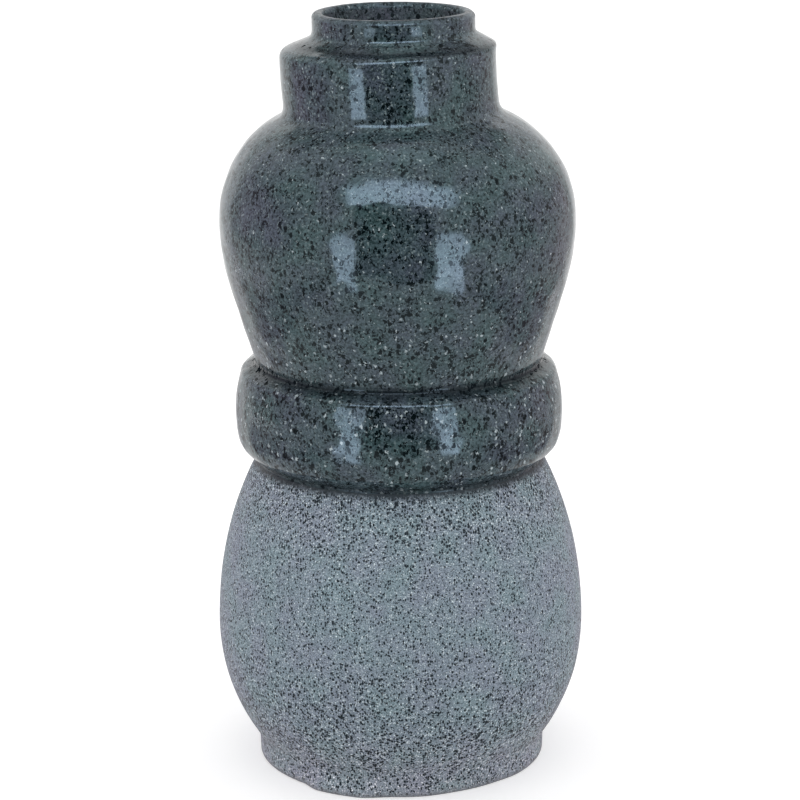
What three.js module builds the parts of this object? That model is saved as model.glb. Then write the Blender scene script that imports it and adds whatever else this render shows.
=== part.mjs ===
// A tall stoneware vase: a matte, sandy lower body on a turned foot, and a glossy speckled upper
// body with a stepped neck, joined at the waist inside a thick rounded ring.
// Millimetres, +Z up, with the origin on the table under the middle of the foot.

import * as THREE from "three";

// Walls and joints
const WALL = 5; // thickness of the thrown walls
const SLIP_SEAM = 0.3; // line of slip between two sections that are luted together
const SPIGOT_STEP = 2.25; // how far the two spigots inside the ring step in from the waist

// Foot ring
const FOOT_RADIUS = 57.5;
const FOOT_WIDTH = 9;
const FOOT_HEIGHT = 5;
const FOOT_EDGE = 0.8; // rounding of its edges on the table

// Lower body
const FLOOR = 6; // thickness of the floor
const FLOOR_FILLET = 9; // hollow curve inside, between floor and wall
const COVE_HEIGHT = 7; // hollow curve outside, between foot and belly
const BELLY_RADIUS = 73;
const BELLY_LIFT = 51; // from the top of the foot to the widest level
const BELLY_LOWER = 76; // half height of the ellipse below the widest level
const BELLY_UPPER = 107; // half height of the ellipse above it
const LOWER_HEIGHT = 119.2; // from the top of the foot to the crease under the ring

// Waist ring
const RING_SWELL = 8.25; // how far it stands out from the waist
const RING_HEIGHT = 39; // from crease to crease
const RING_LIFT = 18.3; // from the lower crease to its fullest level
const RING_UNDERSIDE = new THREE.Vector2(5.8, 4.7); // out and up from the lower crease
const RING_BROW = new THREE.Vector2(1.9, 1.3); // in and down from the upper crease
const RING_LOWER_FULLNESS = 0.76; // how square its lower half is, from 0 to 1
const RING_UPPER_FULLNESS = 1; // how square its upper half is, from 0 to 1

// Upper body
const BULB_RADIUS = 69.2;
const BULB_LIFT = 56.2; // from the crease above the ring to the widest level
const FLANK_LENGTH = 32; // straight flank above the ring, before the round of the bulb
const SHOULDER_RUN = 41.7; // half width of the shoulder's ellipse
const SHOULDER_RISE = 44.1; // half height of the shoulder's ellipse

// Neck collar
const COLLAR_FLARE = 4.4; // hollow curve from the shoulder into the collar
const COLLAR_HEIGHT = 20.8; // from the top of that curve to the collar's top corner
const COLLAR_EDGE = 2.8; // rounding of the top corner
const LEDGE_WIDTH = 10.3; // from the collar's outside to the mouth's
const LEDGE_RISE = 4.9; // rise of the sloping ledge from the corner to the mouth
const LEDGE_SHARE = 0.45; // most of the ledge's width that each of its two curves may take
const COLLAR_LEAN = -3.3; // how far the hand-set collar stands off the axis, along X
const LEAN_LIFT = 15; // from the bulb's widest level to where the neck starts to lean
const COLLAR_TILT = 1.6; // how far collar and ledge are out of level, in degrees, higher towards +X

// Mouth rim
const MOUTH_RADIUS = 31.1;
const MOUTH_HEIGHT = 8.6; // from the ledge to the crest of the lip
const MOUTH_FLARE = 2.6; // hollow curve from the ledge into the mouth
const LIP_WIDTH = 4.3;
const MOUTH_LEAN = -1; // how far the mouth stands off the axis, along X

// Fineness of the round surfaces
const SEGMENTS = 40; // facets round the axis
const DIVISIONS = 4; // facets along a short curve, and half of those along an arc
const SAME_POINT = 1e-4;

const SPECKLED_GLAZE = { color: 0x4a565c, roughness: 0.12, metalness: 0 };
const MATTE_GLAZE = { color: 0x7a858e, roughness: 0.85, metalness: 0 };
const DRY_CLAY = { color: 0x767e85, roughness: 0.95, metalness: 0 };

// An upright ellipse in the plane of the profile, with ways to find a place on it.
class ProfileEllipse {
  constructor(radius, level, run, rise) {
    Object.assign(this, { radius, level, run, rise });
  }

  angleAtLevel(level) {
    return Math.asin((level - this.level) / this.rise);
  }

  angleAtRadius(radius) {
    return Math.acos((radius - this.radius) / this.run);
  }

  point(angle) {
    const x = this.radius + this.run * Math.cos(angle);
    const y = this.level + this.rise * Math.sin(angle);
    return new THREE.Vector2(x, y);
  }

  // Level of the tangent at an angle, read at another radius
  tangentLevel(angle, radius) {
    const touch = this.point(angle);
    const slope = -(this.rise * Math.cos(angle)) / (this.run * Math.sin(angle));
    return touch.y + slope * (radius - touch.x);
  }

  inset(depth) {
    return new ProfileEllipse(this.radius, this.level, this.run - depth, this.rise - depth);
  }

  draw(path, from, to) {
    path.absellipse(this.radius, this.level, this.run, this.rise, from, to, to < from);
  }
}

// Levels of the two bodies and the ring, stacked from the table up
const bellyLevel = FOOT_HEIGHT + BELLY_LIFT;
const ringBottom = FOOT_HEIGHT + LOWER_HEIGHT;
const ringTop = ringBottom + RING_HEIGHT;
const spigotSeam = (ringBottom + ringTop) / 2;
const bulbLevel = ringTop + BULB_LIFT;

// The belly's two curves, and the waist where the upper one ends
const bellyLower = new ProfileEllipse(0, bellyLevel, BELLY_RADIUS, BELLY_LOWER);
const bellyUpper = new ProfileEllipse(0, bellyLevel, BELLY_RADIUS, BELLY_UPPER);
const waistAngle = bellyUpper.angleAtLevel(ringBottom);
const waistRadius = bellyUpper.point(waistAngle).x;
const spigotRadius = waistRadius - SPIGOT_STEP;

// Where the straight flank and the upright at the bulb's widest level would meet, below that level
const flankRun = BULB_RADIUS - waistRadius;
const flankReach = flankRun ** 2 + BULB_LIFT ** 2 - FLANK_LENGTH ** 2;
const flankCorner = flankReach / (2 * (BULB_LIFT + FLANK_LENGTH));

// The shoulder, and the collar and mouth that stand on it
const collarRadius = MOUTH_RADIUS + LEDGE_WIDTH;
const collarEdge = Math.min(COLLAR_EDGE, LEDGE_WIDTH * LEDGE_SHARE);
const mouthFlare = Math.min(MOUTH_FLARE, LEDGE_WIDTH * LEDGE_SHARE);
const shoulder = new ProfileEllipse(
  BULB_RADIUS - SHOULDER_RUN,
  bulbLevel,
  SHOULDER_RUN,
  SHOULDER_RISE,
);
const shoulderAngle = shoulder.angleAtRadius(collarRadius + COLLAR_FLARE);
const collarCorner = shoulder.tangentLevel(shoulderAngle, collarRadius);
const collarFoot = collarCorner + COLLAR_FLARE;
const collarTop = collarFoot + COLLAR_HEIGHT;
const collarWallTop = collarTop - collarEdge;
const ledgeTop = collarTop + LEDGE_RISE;
const ledgeSlope = LEDGE_RISE / LEDGE_WIDTH;
const ledgeLevel = (radius) => ledgeTop - ledgeSlope * (radius - MOUTH_RADIUS);
const mouthFoot = MOUTH_RADIUS + mouthFlare;
const mouthSeat = ledgeLevel(mouthFoot);
const mouthBore = MOUTH_RADIUS - LIP_WIDTH;
const lipRadius = LIP_WIDTH / 2;
const lipLevel = ledgeTop + MOUTH_HEIGHT - lipRadius;

// Bores that run on from one section into the next
const waistBore = spigotRadius - WALL;
const neckBore = collarRadius - WALL;

// How far a level has come into the leaning collar, into the mouth, and up to the level lip.
function collarShare(level) {
  return THREE.MathUtils.smoothstep(level, bulbLevel + LEAN_LIFT, collarWallTop);
}

function mouthShare(level) {
  return THREE.MathUtils.smoothstep(level, collarWallTop, ledgeTop);
}

function lipShare(level) {
  return THREE.MathUtils.smoothstep(level, ledgeTop, lipLevel);
}

// Turns a closed profile round the vertical axis, then sets the neck a little askew.
function section(name, path, finish) {
  const profile = path.getPoints(DIVISIONS);
  const points = profile.filter((p, i) => i === 0 || p.distanceTo(profile[i - 1]) > SAME_POINT);
  const geometry = new THREE.LatheGeometry(points, SEGMENTS);
  geometry.rotateX(Math.PI / 2);
  const place = geometry.attributes.position;
  const tiltSlope = Math.tan(THREE.MathUtils.degToRad(COLLAR_TILT));
  for (let i = 0; i < place.count; i += 1) {
    const x = place.getX(i);
    const level = place.getZ(i);
    const collarLean = COLLAR_LEAN * collarShare(level);
    const tilt = tiltSlope * (collarShare(level) - lipShare(level));
    place.setX(i, x + THREE.MathUtils.lerp(collarLean, MOUTH_LEAN, mouthShare(level)));
    place.setZ(i, level + tilt * x);
  }
  geometry.computeVertexNormals();
  const mesh = new THREE.Mesh(geometry, new THREE.MeshStandardMaterial(finish));
  mesh.name = name;
  return mesh;
}

// A turned ring that lifts the floor off the table, left dry.
function footRing() {
  const inner = FOOT_RADIUS - FOOT_WIDTH;
  const path = new THREE.Path();
  path.moveTo(inner + FOOT_EDGE, 0);
  path.lineTo(FOOT_RADIUS - FOOT_EDGE, 0);
  path.quadraticCurveTo(FOOT_RADIUS, 0, FOOT_RADIUS, FOOT_EDGE);
  path.lineTo(FOOT_RADIUS, FOOT_HEIGHT);
  path.lineTo(inner, FOOT_HEIGHT);
  path.lineTo(inner, FOOT_EDGE);
  path.quadraticCurveTo(inner, 0, inner + FOOT_EDGE, 0);
  return section("foot_ring", path, DRY_CLAY);
}

// The round belly with its floor, ending in a spigot inside the ring.
function lowerBody() {
  const underside = FOOT_HEIGHT + SLIP_SEAM;
  const floorTop = underside + FLOOR;
  const seam = spigotSeam - SLIP_SEAM / 2;
  const lowerInside = bellyLower.inset(WALL);
  const upperInside = bellyUpper.inset(WALL);
  const coveAngle = bellyLower.angleAtLevel(FOOT_HEIGHT + COVE_HEIGHT);
  const coveTop = bellyLower.point(coveAngle);
  const coveCorner = bellyLower.tangentLevel(coveAngle, FOOT_RADIUS);
  const floorRadius = lowerInside.point(lowerInside.angleAtLevel(floorTop)).x;
  const filletAngle = lowerInside.angleAtLevel(floorTop + FLOOR_FILLET);

  const path = new THREE.Path();
  path.moveTo(0, underside);
  path.lineTo(FOOT_RADIUS, underside);
  path.quadraticCurveTo(FOOT_RADIUS, coveCorner, coveTop.x, coveTop.y);
  bellyLower.draw(path, coveAngle, 0);
  bellyUpper.draw(path, 0, waistAngle);
  path.lineTo(spigotRadius, ringBottom);
  path.lineTo(spigotRadius, seam);
  path.lineTo(waistBore, seam);
  upperInside.draw(path, upperInside.angleAtRadius(waistBore), 0);
  lowerInside.draw(path, 0, filletAngle);
  path.quadraticCurveTo(floorRadius, floorTop, floorRadius - FLOOR_FILLET, floorTop);
  path.lineTo(0, floorTop);
  return section("lower_body", path, MATTE_GLAZE);
}

// The thick ring that sleeves both spigots and seats between the two bodies.
function waistRing() {
  const bore = spigotRadius + SLIP_SEAM;
  const bottom = ringBottom + SLIP_SEAM;
  const top = ringTop - SLIP_SEAM;
  const crest = ringBottom + RING_LIFT;
  const ringRadius = waistRadius + RING_SWELL;
  const swellBelow = RING_LOWER_FULLNESS * (crest - bottom);
  const swellAbove = RING_UPPER_FULLNESS * (top - crest);

  const path = new THREE.Path();
  path.moveTo(bore, bottom);
  path.lineTo(waistRadius, bottom);
  path.bezierCurveTo(
    waistRadius + RING_UNDERSIDE.x, bottom + RING_UNDERSIDE.y,
    ringRadius, crest - swellBelow,
    ringRadius, crest,
  );
  path.bezierCurveTo(
    ringRadius, crest + swellAbove,
    waistRadius + RING_BROW.x, top - RING_BROW.y,
    waistRadius, top,
  );
  path.lineTo(bore, top);
  path.lineTo(bore, bottom);
  return section("waist_ring", path, SPECKLED_GLAZE);
}

// How far the straight flank leans out from upright.
function flankLean() {
  return Math.atan2(flankRun, BULB_LIFT - flankCorner);
}

// The arc that takes the straight flank round to the bulb's widest level.
function flankArc() {
  const arc = flankCorner / Math.tan(flankLean() / 2);
  return new ProfileEllipse(BULB_RADIUS - arc, bulbLevel, arc, arc);
}

// The bulb and its shoulder, from the spigot inside the ring to the stub that carries the collar.
function upperBody() {
  const spigotEnd = spigotSeam + SLIP_SEAM / 2;
  const seam = collarFoot - SLIP_SEAM / 2;
  const flank = flankArc();
  const flankInside = flank.inset(WALL);
  const shoulderInside = shoulder.inset(WALL);
  const flankAngle = -flankLean();
  const neckAngle = shoulderInside.angleAtRadius(neckBore + COLLAR_FLARE);
  const neckEdge = shoulderInside.point(neckAngle);
  const neckCorner = shoulderInside.tangentLevel(neckAngle, neckBore);

  const path = new THREE.Path();
  path.moveTo(waistBore, spigotEnd);
  path.lineTo(spigotRadius, spigotEnd);
  path.lineTo(spigotRadius, ringTop);
  path.lineTo(waistRadius, ringTop);
  flank.draw(path, flankAngle, 0);
  shoulder.draw(path, 0, shoulderAngle);
  path.quadraticCurveTo(collarRadius, collarCorner, collarRadius, seam);
  path.lineTo(neckBore, seam);
  path.lineTo(neckBore, neckCorner + COLLAR_FLARE);
  path.quadraticCurveTo(neckBore, neckCorner, neckEdge.x, neckEdge.y);
  shoulderInside.draw(path, neckAngle, 0);
  flankInside.draw(path, 0, flankAngle);
  path.lineTo(waistBore, flankInside.tangentLevel(flankAngle, waistBore));
  path.lineTo(waistBore, spigotEnd);
  return section("upper_body", path, SPECKLED_GLAZE);
}

// The upright collar with its rounded corner and the sloping ledge round the mouth.
function neckCollar() {
  const bottom = collarFoot + SLIP_SEAM / 2;
  const seat = mouthSeat - SLIP_SEAM / 2;
  const edgeRadius = collarRadius - collarEdge;
  const ledgeDepth = WALL * Math.hypot(1, ledgeSlope);

  const path = new THREE.Path();
  path.moveTo(neckBore, bottom);
  path.lineTo(collarRadius, bottom);
  path.lineTo(collarRadius, collarWallTop);
  path.quadraticCurveTo(collarRadius, collarTop, edgeRadius, ledgeLevel(edgeRadius));
  path.lineTo(mouthFoot, seat);
  path.lineTo(mouthBore, seat);
  path.lineTo(mouthBore, ledgeLevel(mouthBore) - ledgeDepth);
  path.lineTo(neckBore, ledgeLevel(neckBore) - ledgeDepth);
  path.lineTo(neckBore, bottom);
  return section("neck_collar", path, SPECKLED_GLAZE);
}

// The short mouth that stands on the ledge and ends in a rounded lip.
function mouthRim() {
  const bottom = mouthSeat + SLIP_SEAM / 2;
  const lip = new ProfileEllipse(mouthBore + lipRadius, lipLevel, lipRadius, lipRadius);

  const path = new THREE.Path();
  path.moveTo(mouthBore, bottom);
  path.lineTo(mouthFoot, bottom);
  path.quadraticCurveTo(MOUTH_RADIUS, ledgeTop, MOUTH_RADIUS, ledgeTop + mouthFlare);
  lip.draw(path, 0, Math.PI);
  path.lineTo(mouthBore, bottom);
  return section("mouth_rim", path, SPECKLED_GLAZE);
}

const vase = new THREE.Group();
vase.add(footRing(), lowerBody(), waistRing(), upperBody(), neckCollar(), mouthRim());
export default vase;
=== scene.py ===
import math
from collections import namedtuple

import bpy
import numpy as np
from mathutils import Matrix, Vector, noise


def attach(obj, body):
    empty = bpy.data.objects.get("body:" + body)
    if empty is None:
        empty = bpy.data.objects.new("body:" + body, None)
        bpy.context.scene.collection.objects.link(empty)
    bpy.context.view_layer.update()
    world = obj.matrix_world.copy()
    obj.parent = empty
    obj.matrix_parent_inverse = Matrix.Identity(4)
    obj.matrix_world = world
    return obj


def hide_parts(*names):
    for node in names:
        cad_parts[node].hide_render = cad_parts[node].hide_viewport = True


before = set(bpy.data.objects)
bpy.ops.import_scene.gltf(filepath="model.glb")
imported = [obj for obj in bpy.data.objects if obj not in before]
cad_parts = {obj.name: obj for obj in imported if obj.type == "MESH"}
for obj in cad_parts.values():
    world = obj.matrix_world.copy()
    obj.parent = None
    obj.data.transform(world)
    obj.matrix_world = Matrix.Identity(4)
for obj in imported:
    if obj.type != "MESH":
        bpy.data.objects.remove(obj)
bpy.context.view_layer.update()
scene = bpy.context.scene
scene.view_settings.view_transform = "Standard"

# A speckled vase: one glazed skin, turned round the axis and cut into the six sections of the frame.

# Sizes in millimetres, as in the CAD model
WALL = 5.0
SLIP_SEAM = 0.3
FOOT_RADIUS, FOOT_INNER, FOOT_HEIGHT, FOOT_EDGE = 57.5, 48.5, 5.0, 0.8
FLOOR_TOP, FLOOR_FILLET, COVE_TOP = 11.3, 9.0, 12.0
BELLY_RADIUS, BELLY_LEVEL, BELLY_LOWER, BELLY_UPPER = 73.0, 56.0, 76.0, 107.0
RING_BOTTOM, RING_TOP, RING_CREST, RING_SWELL = 124.2, 163.2, 142.5, 8.25
RING_UNDERSIDE, RING_LOWER_FULLNESS = (5.8, 4.7), 0.76
SPIGOT_SEAM, SPIGOT_STEP = 143.7, 2.25
BULB_RADIUS, BULB_LEVEL, FLANK_LENGTH = 69.2, 219.4, 32.0
SHOULDER_RUN, SHOULDER_RISE = 41.7, 44.1
COLLAR_RADIUS, COLLAR_FLARE, COLLAR_HEIGHT, COLLAR_EDGE = 41.4, 4.4, 20.8, 2.8
LEDGE_RISE, MOUTH_RADIUS, MOUTH_FLARE, MOUTH_HEIGHT, LIP_WIDTH = 4.9, 31.1, 2.6, 8.6, 4.3
COLLAR_LEAN, MOUTH_LEAN, LEAN_LIFT = -3.3, -1.0, 15.0

# Finer forms that only the glazed skin has, in millimetres: the brow above the ring's crest, roundings
# where curves meet, the thickness of the glaze, a dip in the front of the ledge and an uneven foot.
# The neck tilts a little less than the CAD model's, and the front of the lip keeps part of the tilt.
BROW_REACH, BROW_DROP, BROW_LEAN = 5.8, 3.2, math.radians(13.8)
CREST_HANDLE, BROW_HANDLE = 7.6, 6.6
LOW_ROUNDING, BROW_ROUNDING, HIGH_ROUNDING, CORNER_FULLNESS = 1.0, 1.6, 1.8, 0.84
COLLAR_TILT, LIP_TILT_SHARE, LIP_TILT_FADE = math.radians(1.25), 0.6, 20.0
COAT_LOW, COAT_HIGH, COAT_START, COAT_CLIMB = 0.15, 0.38, 0.5, 20.0
DIP_RADIUS, DIP_DEPTH, DIP_FLAT, DIP_INNER, DIP_OUTER = 36.2, 1.1, 0.3, 0.4, 0.6
TOE_OUT, TOE_IN, TOE_FLAT, TOE_HEIGHT = 2.6, 0.9, 1.2, 7.0

# Where these lie round the vase, in radians from the front to the right: start, full, fading, end
DIP_ARC = (-1.25, -0.50, 0.20, 0.95)
TOE_OUT_ARC, TOE_IN_ARC = (-0.76, -0.58, -0.30, -0.06), (0.12, 0.40, 0.70, 0.95)

# Swells of the glaze as length and depth, how much stronger the short ones are on the ring and weaker on
# the neck, and how far above the foot they start
LONG_SWELL, SHORT_SWELL, RIPPLE = (14.0, 0.10), (7.0, 0.14), (4.0, 0.04)
SHORT_SHIFT = Vector((40, 0, 0))
RING_WAVES, NECK_CALM, NECK_FADE, FOOT_CLEAR = 1.6, 0.5, 8.0, 3.0

# The mesh: segments round the axis, spacing of the rows on large forms, dots on the curves before they
# are spaced, what counts as touching and as nothing, how far the hidden faces of a joint keep inside the
# skin, how deep the ring's joint lies in its upper crease, and a millimetre in metres
SEGMENTS = 288
FINE, COARSE = 1.2, 4.5
LINE_DOTS, QUAD_DOTS, CUBIC_DOTS, ARC_DOTS = 60, 120, 240, 400
TOUCH, TINY = 0.01, 1e-9
JOINT_INSET, CREASE_DEPTH = 0.4, 1.0
MILLIMETRE = 0.001


# Profile curves as dense rows of (radius, level)
def line(a, b):
    t = np.linspace(0, 1, LINE_DOTS)[:, None]
    return np.array(a) * (1 - t) + np.array(b) * t


def quad(a, c, b):
    t = np.linspace(0, 1, QUAD_DOTS)[:, None]
    return (1 - t) ** 2 * np.array(a) + 2 * t * (1 - t) * np.array(c) + t ** 2 * np.array(b)


def cubic(a, c, d, b):
    t = np.linspace(0, 1, CUBIC_DOTS)[:, None]
    a, b, c, d = (np.array(p, float) for p in (a, b, c, d))
    return (1 - t) ** 3 * a + 3 * t * (1 - t) ** 2 * c + 3 * t ** 2 * (1 - t) * d + t ** 3 * b


# A corner like quad's that keeps closer to its tip
def tight(a, c, b):
    a, b, c = (np.array(p, float) for p in (a, b, c))
    return cubic(a, a + CORNER_FULLNESS * (c - a), b + CORNER_FULLNESS * (c - b), b)


class Ellipse:
    def __init__(self, radius, level, run, rise):
        self.radius, self.level, self.run, self.rise = radius, level, run, rise

    def at_level(self, level):
        return math.asin((level - self.level) / self.rise)

    def at_radius(self, radius):
        return math.acos((radius - self.radius) / self.run)

    def point(self, angle):
        return np.array((
            self.radius + self.run * math.cos(angle),
            self.level + self.rise * math.sin(angle),
        ))

    def tangent_level(self, angle, radius):
        x, y = self.point(angle)
        slope = -(self.rise * math.cos(angle)) / (self.run * math.sin(angle))
        return y + slope * (radius - x)

    def inset(self, depth):
        return Ellipse(self.radius, self.level, self.run - depth, self.rise - depth)

    def arc(self, start, end):
        t = np.linspace(start, end, ARC_DOTS)
        return np.stack((
            self.radius + self.run * np.cos(t),
            self.level + self.rise * np.sin(t),
        ), 1)


def lengths(points):
    return np.concatenate(([0], np.cumsum(np.hypot(*np.diff(points, axis=0).T))))


def resample(points, step):
    s = lengths(points)
    t = np.linspace(0, s[-1], max(1, math.ceil(s[-1] / step)) + 1)
    return np.stack((np.interp(t, s, points[:, 0]), np.interp(t, s, points[:, 1])), 1)


def trim(points, cut):
    s = lengths(points)
    keep = points[s > cut]
    start = np.array([np.interp(cut, s, points[:, k]) for k in (0, 1)])
    return np.concatenate((start[None], keep))


# Rounds the corner between two curves that meet.
def rounded(before, after, cut):
    corner = after[0]
    before = trim(before[::-1], cut)[::-1]
    after = trim(after, cut)
    return before, quad(before[-1], corner, after[0]), after


# Places along the outline, from the foot up
foot_in, foot_out = FOOT_INNER + FOOT_EDGE, FOOT_RADIUS - FOOT_EDGE
foot_seam = FOOT_HEIGHT + SLIP_SEAM / 2
belly_low = Ellipse(0, BELLY_LEVEL, BELLY_RADIUS, BELLY_LOWER)
belly_high = Ellipse(0, BELLY_LEVEL, BELLY_RADIUS, BELLY_UPPER)
cove_angle = belly_low.at_level(COVE_TOP)
cove_end = belly_low.point(cove_angle)
cove_corner = belly_low.tangent_level(cove_angle, FOOT_RADIUS)
waist_angle = belly_high.at_level(RING_BOTTOM)
waist = belly_high.point(waist_angle)[0]
spigot = waist - SPIGOT_STEP
waist_bore = spigot - WALL
low_crease = np.array((waist, RING_BOTTOM + SLIP_SEAM / 2))
high_crease = np.array((waist, RING_TOP - SLIP_SEAM / 2))
crest = np.array((waist + RING_SWELL, RING_CREST))
brow = high_crease + (BROW_REACH, -BROW_DROP)
flank_run, flank_lift = BULB_RADIUS - waist, BULB_LEVEL - RING_TOP
flank_corner = (flank_run ** 2 + flank_lift ** 2 - FLANK_LENGTH ** 2) / (2 * (flank_lift + FLANK_LENGTH))
flank_lean = math.atan2(flank_run, flank_lift - flank_corner)
flank_arc = flank_corner / math.tan(flank_lean / 2)
flank = Ellipse(BULB_RADIUS - flank_arc, BULB_LEVEL, flank_arc, flank_arc)
shoulder = Ellipse(BULB_RADIUS - SHOULDER_RUN, BULB_LEVEL, SHOULDER_RUN, SHOULDER_RISE)
shoulder_angle = shoulder.at_radius(COLLAR_RADIUS + COLLAR_FLARE)
collar_corner = shoulder.tangent_level(shoulder_angle, COLLAR_RADIUS)
collar_foot = collar_corner + COLLAR_FLARE
collar_top = collar_foot + COLLAR_HEIGHT
collar_wall_top = collar_top - COLLAR_EDGE
ledge_top = collar_top + LEDGE_RISE
ledge_slope = LEDGE_RISE / (COLLAR_RADIUS - MOUTH_RADIUS)
ledge_depth = WALL * math.hypot(1, ledge_slope)
mouth_bore = MOUTH_RADIUS - LIP_WIDTH
neck_bore = COLLAR_RADIUS - WALL
lip_half = LIP_WIDTH / 2
lip = Ellipse(mouth_bore + lip_half, ledge_top + MOUTH_HEIGHT - lip_half, lip_half, lip_half)


# A point of the ledge, or of its underside, at a radius
def ledge(radius, depth=0.0):
    return np.array((radius, ledge_top - ledge_slope * (radius - MOUTH_RADIUS) - depth))


ledge_edge = ledge(COLLAR_RADIUS - COLLAR_EDGE)
mouth_joint = ledge(MOUTH_RADIUS + MOUTH_FLARE)
mouth_foot, mouth_seat = mouth_joint
mouth_wall = (MOUTH_RADIUS, ledge_top + MOUTH_FLARE)

# Places along the inside, from the mouth down
under_mouth, under_collar = ledge(mouth_bore, ledge_depth), ledge(neck_bore, ledge_depth)
belly_in_low, belly_in_high = belly_low.inset(WALL), belly_high.inset(WALL)
flank_in, shoulder_in = flank.inset(WALL), shoulder.inset(WALL)
neck_angle = shoulder_in.at_radius(neck_bore + COLLAR_FLARE)
neck_corner = (neck_bore, shoulder_in.tangent_level(neck_angle, neck_bore))
neck_end = (neck_bore, neck_corner[1] + COLLAR_FLARE)
bore_top = (waist_bore, flank_in.tangent_level(-flank_lean, waist_bore))
bore_seam = (waist_bore, SPIGOT_SEAM)
bore_angle = belly_in_high.at_radius(waist_bore)
fillet_angle = belly_in_low.at_level(FLOOR_TOP + FLOOR_FILLET)
floor_corner = belly_in_low.point(belly_in_low.at_level(FLOOR_TOP))
floor_edge = floor_corner - (FLOOR_FILLET, 0)

# The larger curves of the outside
belly = np.concatenate((
    quad((FOOT_RADIUS, foot_seam), (FOOT_RADIUS, cove_corner), cove_end),
    belly_low.arc(cove_angle, 0)[1:],
    belly_high.arc(0, waist_angle)[1:],
    low_crease[None],
))
ring = np.concatenate((
    cubic(
        low_crease,
        low_crease + RING_UNDERSIDE,
        crest - (0, RING_LOWER_FULLNESS * (RING_CREST - low_crease[1])),
        crest,
    ),
    cubic(
        crest,
        crest + (0, CREST_HANDLE),
        brow + BROW_HANDLE * np.array((math.sin(BROW_LEAN), -math.cos(BROW_LEAN))),
        brow,
    )[1:],
))
ring_top = line(brow, high_crease)
bulb = np.concatenate((
    line(high_crease, flank.point(-flank_lean)),
    flank.arc(-flank_lean, 0)[1:],
    shoulder.arc(0, shoulder_angle)[1:],
    tight(shoulder.point(shoulder_angle), (COLLAR_RADIUS, collar_corner), (COLLAR_RADIUS, collar_foot))[1:],
))
belly, low_fillet, ring = rounded(belly, ring, LOW_ROUNDING)
ring, ring_brow, ring_top = rounded(ring, ring_top, BROW_ROUNDING)
ring_top, crease, bulb = rounded(ring_top, bulb, HIGH_ROUNDING)

# The outline from the axis under the floor, up the outside and down the inside to the axis again:
# piece, finish, curve, spacing of its rows
OUTLINE = [
    ("lower_body", "clay", line((0, foot_seam), (FOOT_INNER, foot_seam)), COARSE),
    ("foot_ring", "clay", line((FOOT_INNER, foot_seam), (FOOT_INNER, FOOT_EDGE)), FINE),
    ("foot_ring", "clay", quad((FOOT_INNER, FOOT_EDGE), (FOOT_INNER, 0), (foot_in, 0)), 0.3),
    ("foot_ring", "clay", line((foot_in, 0), (foot_out, 0)), 1.8),
    ("foot_ring", "sand", quad((foot_out, 0), (FOOT_RADIUS, 0), (FOOT_RADIUS, FOOT_EDGE)), 0.3),
    ("foot_ring", "sand", line((FOOT_RADIUS, FOOT_EDGE), (FOOT_RADIUS, foot_seam)), 1.0),
    ("lower_body", "sand", belly, FINE),
    ("waist_ring", "gloss", low_fillet, 0.3),
    ("waist_ring", "gloss", ring, 0.8),
    ("waist_ring", "gloss", ring_brow, 0.4),
    ("waist_ring", "gloss", ring_top, 0.6),
    ("upper_body", "gloss", crease, 0.25),
    ("upper_body", "gloss", bulb, FINE),
    ("neck_collar", "gloss", line((COLLAR_RADIUS, collar_foot), (COLLAR_RADIUS, collar_wall_top)), FINE),
    ("neck_collar", "gloss", tight(
        (COLLAR_RADIUS, collar_wall_top), (COLLAR_RADIUS, collar_top), ledge_edge), 0.4),
    ("neck_collar", "gloss", line(ledge_edge, mouth_joint), 0.5),
    ("mouth_rim", "gloss", tight(mouth_joint, (MOUTH_RADIUS, ledge_top), mouth_wall), 0.4),
    ("mouth_rim", "gloss", line(mouth_wall, (MOUTH_RADIUS, lip.level)), 0.8),
    ("mouth_rim", "gloss", lip.arc(0, math.pi), 0.4),
    ("mouth_rim", "lining", line((mouth_bore, lip.level), (mouth_bore, mouth_seat)), FINE),
    ("neck_collar", "lining", line((mouth_bore, mouth_seat), under_mouth), FINE),
    ("neck_collar", "lining", line(under_mouth, under_collar), 2.0),
    ("neck_collar", "lining", line(under_collar, (neck_bore, collar_foot)), COARSE),
    ("upper_body", "lining", line((neck_bore, collar_foot), neck_end), COARSE),
    ("upper_body", "lining", quad(neck_end, neck_corner, shoulder_in.point(neck_angle)), 2.5),
    ("upper_body", "lining", shoulder_in.arc(neck_angle, 0), COARSE),
    ("upper_body", "lining", flank_in.arc(0, -flank_lean), COARSE),
    ("upper_body", "lining", line(flank_in.point(-flank_lean), bore_top), COARSE),
    ("upper_body", "lining", line(bore_top, bore_seam), COARSE),
    ("lower_body", "lining", line(bore_seam, belly_in_high.point(bore_angle)), COARSE),
    ("lower_body", "lining", belly_in_high.arc(bore_angle, 0), COARSE),
    ("lower_body", "lining", belly_in_low.arc(0, fillet_angle), COARSE),
    ("lower_body", "lining", quad(belly_in_low.point(fillet_angle), floor_corner, floor_edge), 2.5),
    ("lower_body", "lining", line(floor_edge, (0, FLOOR_TOP)), COARSE),
]

# The outline as rows of points, with the piece and the finish of each band between two rows
rows, owner, finish = [OUTLINE[0][2][:1]], [], []
for piece, coat, curve, step in OUTLINE:
    stretch = resample(curve, step)[1:]
    rows.append(stretch)
    owner += [piece] * len(stretch)
    finish += [coat] * len(stretch)
rows = np.concatenate(rows)
count = len(rows)


def smooth(x, low, high):
    t = np.clip((x - low) / (high - low), 0, 1)
    return t * t * (3 - 2 * t)


def between(x, start, full, fading, end):
    return smooth(x, start, full) * (1 - smooth(x, fading, end))


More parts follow.
